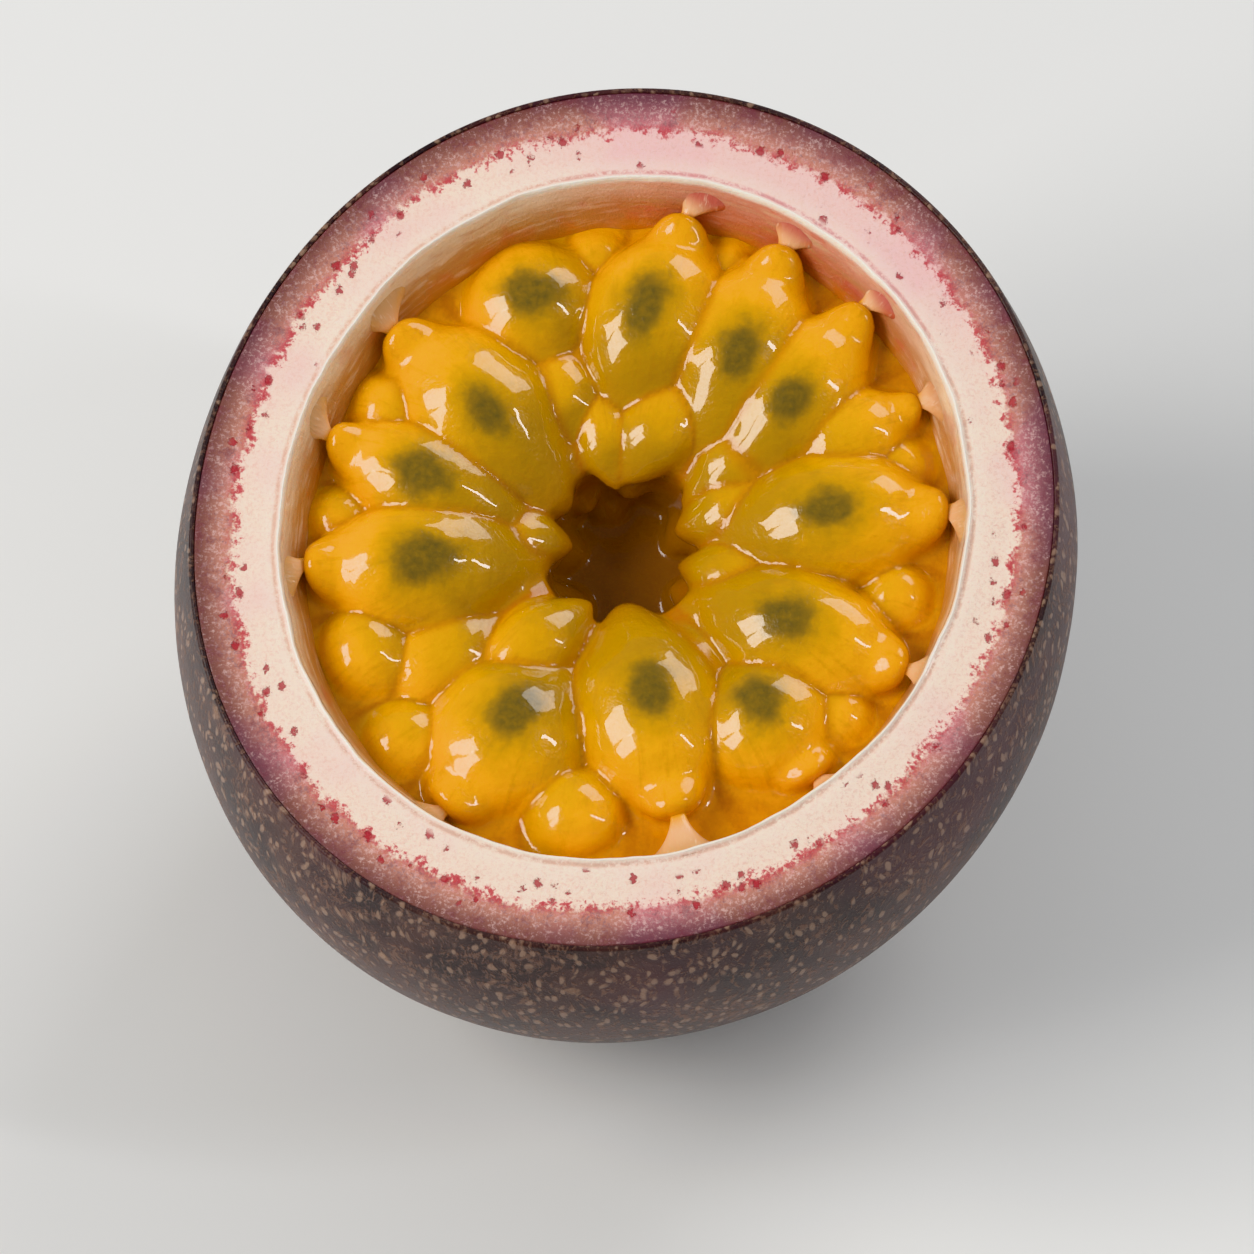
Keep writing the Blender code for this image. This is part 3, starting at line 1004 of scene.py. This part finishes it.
def makeStalks():
    # The root stands in the wall, a little above the end of the sac's neck.
    draw = random.Random(31)
    points, turns, sizes = [], [], []
    for centre, sacTurn, half, _, necked in sacPlaces():
        tip = outerTip(centre, sacTurn, half)
        if not necked or math.hypot(tip.x, tip.y) < stalks["nearest"]:
            continue
        bearing = math.atan2(tip.y, tip.x) + draw.uniform(-0.03, 0.03)
        height = min(tip.z + stalks["higher"], fruit["cutHeight"] - stalks["belowCut"])
        reach = wallRadius(bearing, height) + stalks["rooted"]
        root = Vector((math.cos(bearing) * reach, math.sin(bearing) * reach, height))
        inward = tip - root
        length = inward.length + stalks["intoSac"]
        inward.normalize()
        side = Vector((0, 0, 1)).cross(inward).normalized()
        turn = Matrix((side, inward.cross(side), inward)).transposed()
        share = draw.uniform(0.8, 1.15)
        points.append(root)
        turns.append(tuple(turn.to_euler()))
        sizes.append((stalks["halfWidth"] * share, stalks["halfHeight"] * share, length))
    values = {"Tip": stalks["tip"], "Flare": stalks["flare"], "Finish": stalkFinish()}
    mesh = runTree("stalks", points, {"turn": turns, "size": sizes}, stalkTree(), values)
    # The flared foot follows the wall, just inside it.
    spots = pointsOf(mesh)
    along = np.empty(len(spots))
    mesh.attributes["reach"].data.foreach_get("value", along)
    for number, spot in enumerate(spots):
        reach = math.hypot(spot[0], spot[1])
        wall = wallRadius(math.atan2(spot[1], spot[0]), spot[2]) + stalks["rooted"]
        share = (1 - along[number]) ** stalks["hug"]
        spot[:2] *= 1 + (wall / reach - 1) * share
    setPoints(mesh, settled(grown(spots)))
    claim(addPiece("stalks", mesh))
    print("stalks made:", len(points))


# The stem scar: a dry stub with a low collar, beside the resting spot.

# Its rows are distance from its own axis and height, in mm.
scar = {
    "turn": math.radians(8),
    "rows": [(0.0, 0.5), (0.5, 0.42), (0.95, 0.6), (1.25, 0.72), (1.5, 0.55), (1.62, 0.1), (1.75, -0.02),
             (2.1, 0.16), (2.5, 0.14), (2.9, -0.12), (2.9, -0.6), (0.0, -0.6)],
    "steps": 48,
    "proud": 0.02 * mm,
}


def makeScar():
    finish, bench, shader = newFinish("stemScar", {"Roughness": 0.8})
    place = fruitPlace(bench)
    fibres = bench.cloud(bench.vectorMaths("MULTIPLY", place, (1, 1, 0.3)), 0.3, 4.0, 0.7)
    colour = bench.mix(fibres.rise(0.35, 0.65), tint(70, 48, 36), tint(150, 118, 86))
    feed(bench, shader, colour=colour, roughness=0.75 + fibres * 0.15, normal=bench.bump(fibres, 0.12))
    rows = [(radius * mm, height * mm) for radius, height in scar["rows"]]
    points, faces, _ = turnedParts(rows, scar["steps"])
    spread = np.hypot(points[:, 0], points[:, 1])
    points[:, 2] += unevenness(points, 0.6 * mm, 9) * 0.12 * mm * (spread < 2.6 * mm)
    points[:, :2] *= (1 + 0.12 * unevenness(points, 1.4 * mm, 10))[:, None]
    outward = Vector((0, math.sin(scar["turn"]), -math.cos(scar["turn"])))
    angle = -math.pi / 2 + scar["turn"]
    reach = math.hypot(*bodyRow(angle))
    upright = outward.to_track_quat("Z", "Y").to_matrix().to_4x4()
    stand = Matrix.Translation(outward * (reach + scar["proud"])) @ upright
    mesh = meshOf("stemScar", settled(moved(points, stand)), faces)
    claim(addPiece("stemScar", mesh, finish))
    print("stem scar made")


# Stage, light and camera.

studio = {
    "elevation": math.radians(54),
    "azimuth": math.radians(3),
    "distance": 0.87,
    "lens": 405,
    "sensorWidth": 36,
    "floorSize": 6.0,
    "skyStrength": 0.4,
}

# Each light: name, place, size, power and colour. The window has two panes.
softboxes = [
    ("windowPane", (-0.5, -0.31, 0.46), (0.19, 0.36), 1.75, (1.0, 0.98, 0.95)),
    ("windowPane", (-0.5, -0.09, 0.46), (0.19, 0.36), 1.75, (1.0, 0.98, 0.95)),
    ("stripLight", (0.42, -0.1, 0.42), (0.03, 0.26), 0.45, (0.97, 0.98, 1.0)),
    ("backLight", (0.75, 1.0, 1.1), (0.9, 0.9), 9.0, (1.0, 1.0, 1.0)),
]


def addSoftbox(target, name, place, size, power, colour):
    light = bpy.data.lights.new(name, "AREA")
    light.shape = "RECTANGLE"
    light.size, light.size_y = size
    light.energy = power
    light.color = colour
    box = bpy.data.objects.new(name, light)
    bpy.context.scene.collection.objects.link(box)
    box.location = place
    box.rotation_euler = (target - Vector(place)).to_track_quat("-Z", "Y").to_euler()


def makeStage():
    low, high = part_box(halfNode)
    middle = (low + high) / 2
    floorMesh = bpy.data.meshes.new("floor")
    side = studio["floorSize"]
    corners = [(-side, -side, low.z), (side, -side, low.z), (side, side, low.z), (-side, side, low.z)]
    floorMesh.from_pydata(corners, [], [(0, 1, 2, 3)])
    paper, _, _ = newFinish("floorPaper", {"Base Color": tint(233, 232, 229), "Roughness": 0.7})
    addPiece("floor", floorMesh, paper)
    for softbox in softboxes:
        addSoftbox(middle, *softbox)
    world = bpy.data.worlds.new("studio")
    bpy.context.scene.world = world
    world.use_nodes = True
    sky = world.node_tree.nodes["Background"]
    sky.inputs["Color"].default_value = tint(236, 240, 246)
    sky.inputs["Strength"].default_value = studio["skyStrength"]
    camera = bpy.data.cameras.new("camera")
    camera.lens = studio["lens"]
    camera.sensor_width = studio["sensorWidth"]
    seat = bpy.data.objects.new("camera", camera)
    bpy.context.scene.collection.objects.link(seat)
    back = Vector((
        math.sin(studio["azimuth"]) * math.cos(studio["elevation"]),
        -math.cos(studio["azimuth"]) * math.cos(studio["elevation"]),
        math.sin(studio["elevation"]),
    ))
    seat.location = middle + back * studio["distance"]
    seat.rotation_euler = back.to_track_quat("Z", "Y").to_euler()
    camera.clip_end = 50
    bpy.context.scene.camera = seat
    bpy.context.scene.view_settings.view_transform = "Khronos PBR Neutral"
    print("stage made")


makeStage()
makeSkin()
makePith()
makePulp()
makeStalks()
makeScar()
